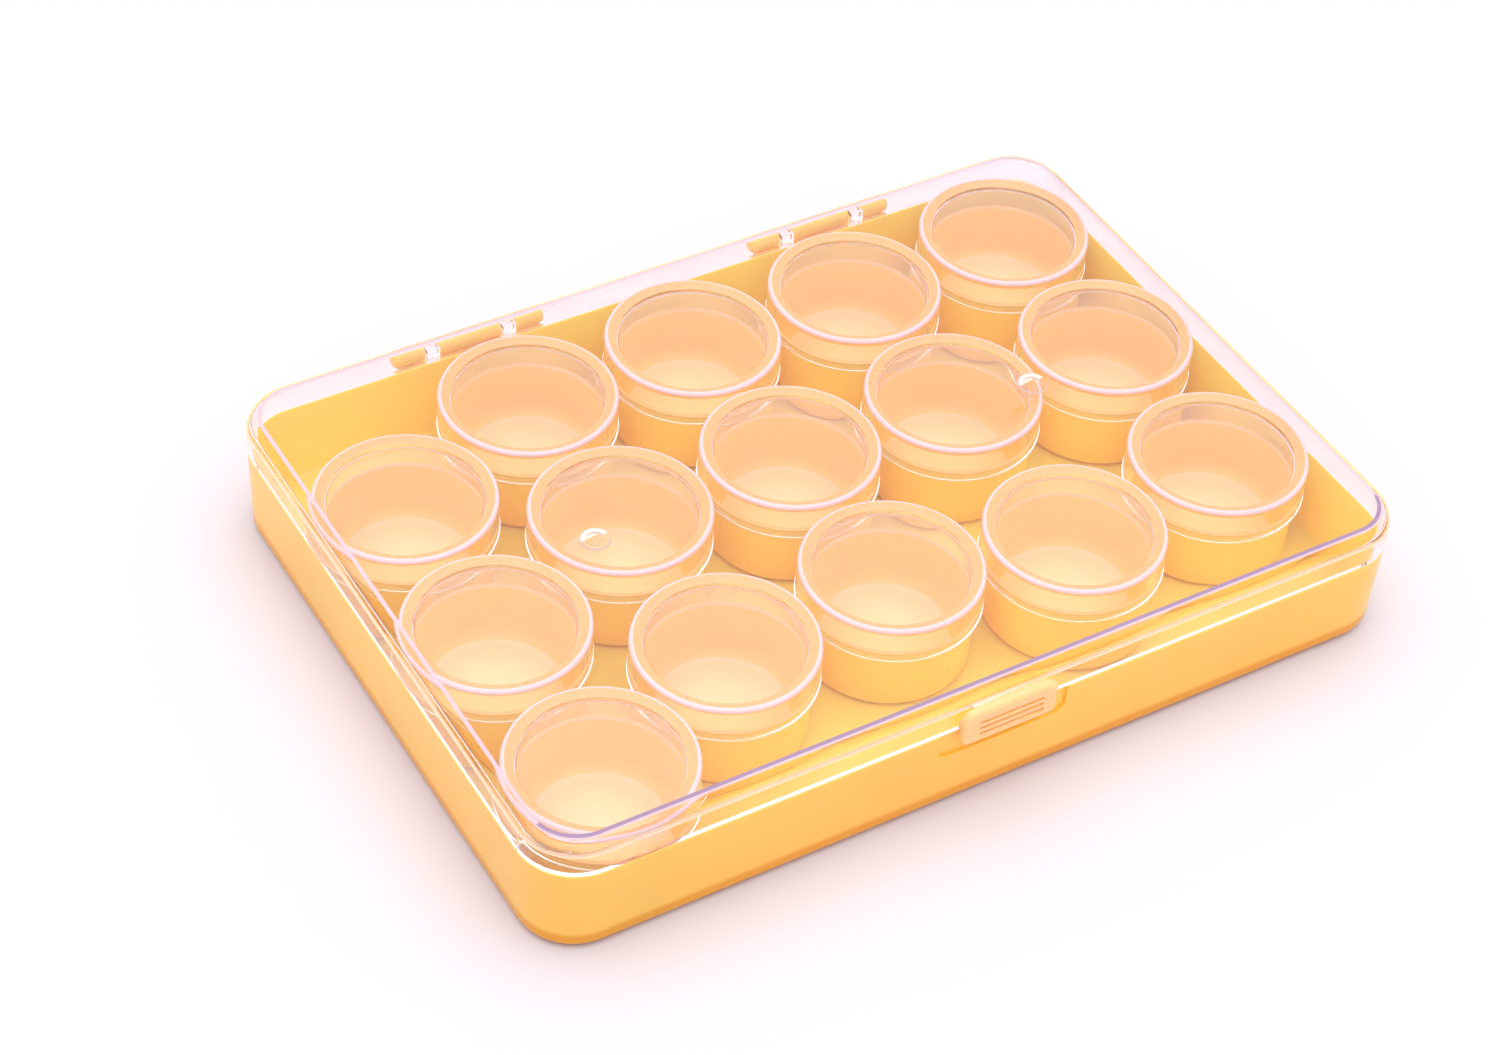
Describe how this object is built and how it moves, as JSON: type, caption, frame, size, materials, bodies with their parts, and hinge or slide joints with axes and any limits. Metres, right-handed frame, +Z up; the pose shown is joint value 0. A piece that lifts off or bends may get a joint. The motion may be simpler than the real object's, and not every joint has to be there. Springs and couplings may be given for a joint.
{
  "type": "storage tray with containers",
  "caption": "Flat hinged-lid box: a shallow drafted tray under a clear lid with a front latch tab, holding loose round cups that each have a clear push-on cap.",
  "frame": {"origin": "centre of the flat underside of the tray", "axes": "+X along the long side, -Y towards the latch, +Y towards the hinges, +Z up"},
  "size_m": [0.1468, 0.1092, 0.0217],
  "materials": {
    "tray_yellow": "translucent moulded yellow-orange, satin gloss",
    "lid_clear": "clear moulded plastic",
    "cup_yellow": "translucent moulded yellow, satin gloss",
    "cap_clear": "clear moulded plastic"
  },
  "bodies": {
    "base": {"base_tray": "tray_yellow"},
    "lid": {"hinged_lid": "lid_clear"},
    "cup_01": {"cup_01": "cup_yellow"},
    "cap_01": {"cup_cap_01": "cap_clear"},
    "cup_02": {"cup_02": "cup_yellow"},
    "cap_02": {"cup_cap_02": "cap_clear"},
    "cup_03": {"cup_03": "cup_yellow"},
    "cap_03": {"cup_cap_03": "cap_clear"},
    "cup_04": {"cup_04": "cup_yellow"},
    "cap_04": {"cup_cap_04": "cap_clear"},
    "cup_05": {"cup_05": "cup_yellow"},
    "cap_05": {"cup_cap_05": "cap_clear"},
    "cup_06": {"cup_06": "cup_yellow"},
    "cap_06": {"cup_cap_06": "cap_clear"},
    "cup_07": {"cup_07": "cup_yellow"},
    "cap_07": {"cup_cap_07": "cap_clear"},
    "cup_08": {"cup_08": "cup_yellow"},
    "cap_08": {"cup_cap_08": "cap_clear"},
    "cup_09": {"cup_09": "cup_yellow"},
    "cap_09": {"cup_cap_09": "cap_clear"},
    "cup_10": {"cup_10": "cup_yellow"},
    "cap_10": {"cup_cap_10": "cap_clear"},
    "cup_11": {"cup_11": "cup_yellow"},
    "cap_11": {"cup_cap_11": "cap_clear"},
    "cup_12": {"cup_12": "cup_yellow"},
    "cap_12": {"cup_cap_12": "cap_clear"},
    "cup_13": {"cup_13": "cup_yellow"},
    "cap_13": {"cup_cap_13": "cap_clear"},
    "cup_14": {"cup_14": "cup_yellow"},
    "cap_14": {"cup_cap_14": "cap_clear"},
    "cup_15": {"cup_15": "cup_yellow"},
    "cap_15": {"cup_cap_15": "cap_clear"}
  },
  "joints": [
    {"name": "box_lid_hinge", "type": "hinge", "parent": "base", "child": "lid", "pos_m": [0, 0.0539, 0.0162], "axis": [-1, 0, 0], "range_deg": [0, 175]},
    {"name": "cup_lift_01", "type": "slide", "parent": "base", "child": "cup_01", "axis": [0, 0, 1], "range_m": [0, 0.0008]},
    {"name": "cup_cap_pull_01", "type": "slide", "parent": "cup_01", "child": "cap_01", "axis": [0, 0, 1], "range_m": [0, 0.0008]},
    {"name": "cup_lift_02", "type": "slide", "parent": "base", "child": "cup_02", "axis": [0, 0, 1], "range_m": [0, 0.0008]},
    {"name": "cup_cap_pull_02", "type": "slide", "parent": "cup_02", "child": "cap_02", "axis": [0, 0, 1], "range_m": [0, 0.0008]},
    {"name": "cup_lift_03", "type": "slide", "parent": "base", "child": "cup_03", "axis": [0, 0, 1], "range_m": [0, 0.0008]},
    {"name": "cup_cap_pull_03", "type": "slide", "parent": "cup_03", "child": "cap_03", "axis": [0, 0, 1], "range_m": [0, 0.0008]},
    {"name": "cup_lift_04", "type": "slide", "parent": "base", "child": "cup_04", "axis": [0, 0, 1], "range_m": [0, 0.0008]},
    {"name": "cup_cap_pull_04", "type": "slide", "parent": "cup_04", "child": "cap_04", "axis": [0, 0, 1], "range_m": [0, 0.0008]},
    {"name": "cup_lift_05", "type": "slide", "parent": "base", "child": "cup_05", "axis": [0, 0, 1], "range_m": [0, 0.0008]},
    {"name": "cup_cap_pull_05", "type": "slide", "parent": "cup_05", "child": "cap_05", "axis": [0, 0, 1], "range_m": [0, 0.0008]},
    {"name": "cup_lift_06", "type": "slide", "parent": "base", "child": "cup_06", "axis": [0, 0, 1], "range_m": [0, 0.0008]},
    {"name": "cup_cap_pull_06", "type": "slide", "parent": "cup_06", "child": "cap_06", "axis": [0, 0, 1], "range_m": [0, 0.0008]},
    {"name": "cup_lift_07", "type": "slide", "parent": "base", "child": "cup_07", "axis": [0, 0, 1], "range_m": [0, 0.0008]},
    {"name": "cup_cap_pull_07", "type": "slide", "parent": "cup_07", "child": "cap_07", "axis": [0, 0, 1], "range_m": [0, 0.0008]},
    {"name": "cup_lift_08", "type": "slide", "parent": "base", "child": "cup_08", "axis": [0, 0, 1], "range_m": [0, 0.0008]},
    {"name": "cup_cap_pull_08", "type": "slide", "parent": "cup_08", "child": "cap_08", "axis": [0, 0, 1], "range_m": [0, 0.0008]},
    {"name": "cup_lift_09", "type": "slide", "parent": "base", "child": "cup_09", "axis": [0, 0, 1], "range_m": [0, 0.0008]},
    {"name": "cup_cap_pull_09", "type": "slide", "parent": "cup_09", "child": "cap_09", "axis": [0, 0, 1], "range_m": [0, 0.0008]},
    {"name": "cup_lift_10", "type": "slide", "parent": "base", "child": "cup_10", "axis": [0, 0, 1], "range_m": [0, 0.0008]},
    {"name": "cup_cap_pull_10", "type": "slide", "parent": "cup_10", "child": "cap_10", "axis": [0, 0, 1], "range_m": [0, 0.0008]},
    {"name": "cup_lift_11", "type": "slide", "parent": "base", "child": "cup_11", "axis": [0, 0, 1], "range_m": [0, 0.0008]},
    {"name": "cup_cap_pull_11", "type": "slide", "parent": "cup_11", "child": "cap_11", "axis": [0, 0, 1], "range_m": [0, 0.0008]},
    {"name": "cup_lift_12", "type": "slide", "parent": "base", "child": "cup_12", "axis": [0, 0, 1], "range_m": [0, 0.0008]},
    {"name": "cup_cap_pull_12", "type": "slide", "parent": "cup_12", "child": "cap_12", "axis": [0, 0, 1], "range_m": [0, 0.0008]},
    {"name": "cup_lift_13", "type": "slide", "parent": "base", "child": "cup_13", "axis": [0, 0, 1], "range_m": [0, 0.0008]},
    {"name": "cup_cap_pull_13", "type": "slide", "parent": "cup_13", "child": "cap_13", "axis": [0, 0, 1], "range_m": [0, 0.0008]},
    {"name": "cup_lift_14", "type": "slide", "parent": "base", "child": "cup_14", "axis": [0, 0, 1], "range_m": [0, 0.0008]},
    {"name": "cup_cap_pull_14", "type": "slide", "parent": "cup_14", "child": "cap_14", "axis": [0, 0, 1], "range_m": [0, 0.0008]},
    {"name": "cup_lift_15", "type": "slide", "parent": "base", "child": "cup_15", "axis": [0, 0, 1], "range_m": [0, 0.0008]},
    {"name": "cup_cap_pull_15", "type": "slide", "parent": "cup_15", "child": "cap_15", "axis": [0, 0, 1], "range_m": [0, 0.0008]}
  ]
}
